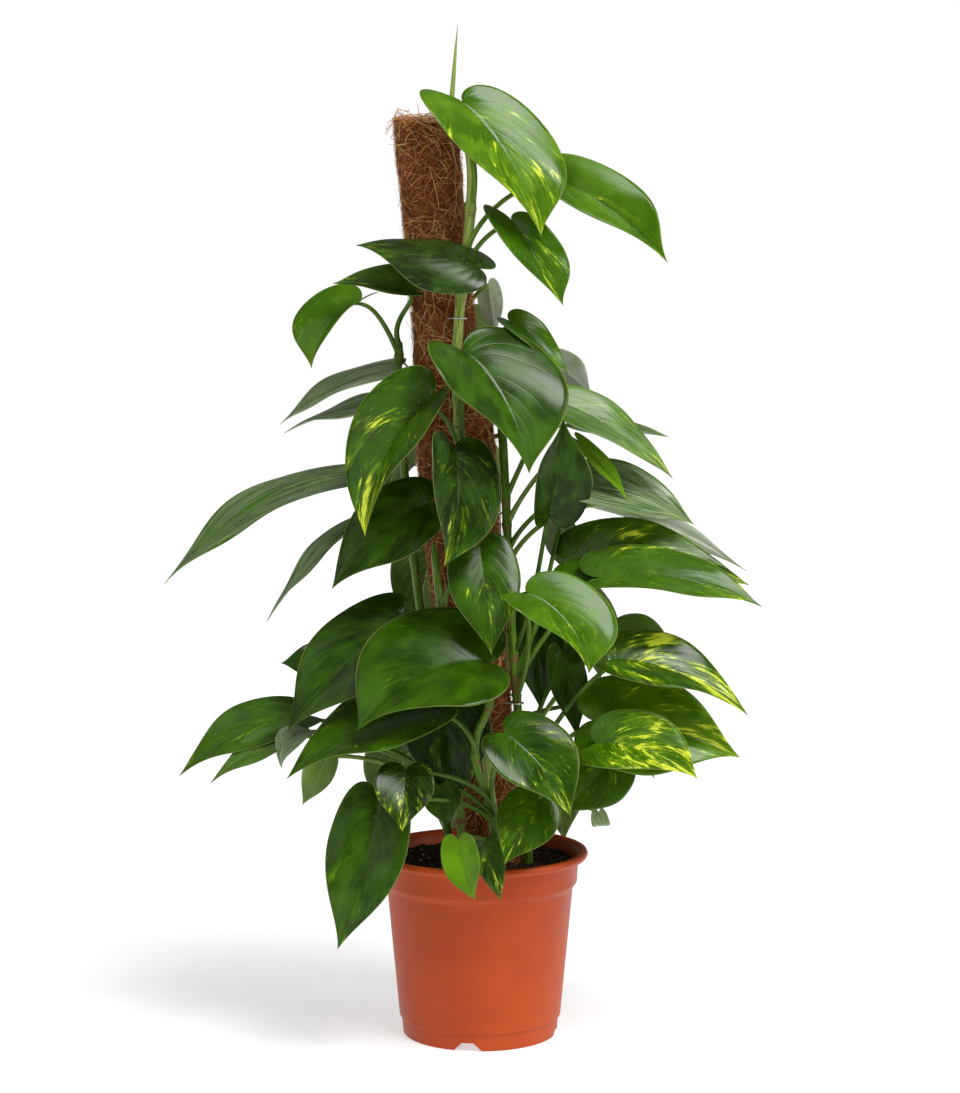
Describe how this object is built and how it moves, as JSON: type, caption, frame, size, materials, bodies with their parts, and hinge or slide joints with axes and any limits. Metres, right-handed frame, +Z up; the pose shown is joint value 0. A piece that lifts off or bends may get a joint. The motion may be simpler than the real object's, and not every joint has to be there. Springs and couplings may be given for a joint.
{
  "type": "potted climbing plant",
  "caption": "Golden pothos with heart-shaped leaves climbing a leaning coir pole in a round plastic nursery pot.",
  "frame": {"origin": "centre of the pot's foot, on the surface it stands on", "axes": "+Z up, -Y towards the front of the plant, +X to its right"},
  "size_m": [0.4558, 0.2423, 0.7793],
  "materials": {
    "pot_plastic": "smooth satin terracotta-coloured plastic",
    "soil": "rough dark potting soil",
    "stake_wood": "plain round wood",
    "coir": "matted coconut fibre",
    "wire": "bright bent wire",
    "foliage": "glossy green leaves with yellow variegation"
  },
  "bodies": {
    "root": {"pot": "pot_plastic", "soil": "soil", "pole_stake": "stake_wood", "coir_wrap": "coir", "wire_pin_1": "wire", "wire_pin_2": "wire", "vine_front": "foliage", "vine_right": "foliage", "vine_left": "foliage", "vine_low_left": "foliage", "vine_low_front": "foliage", "vine_back": "foliage"}
  },
  "joints": []
}
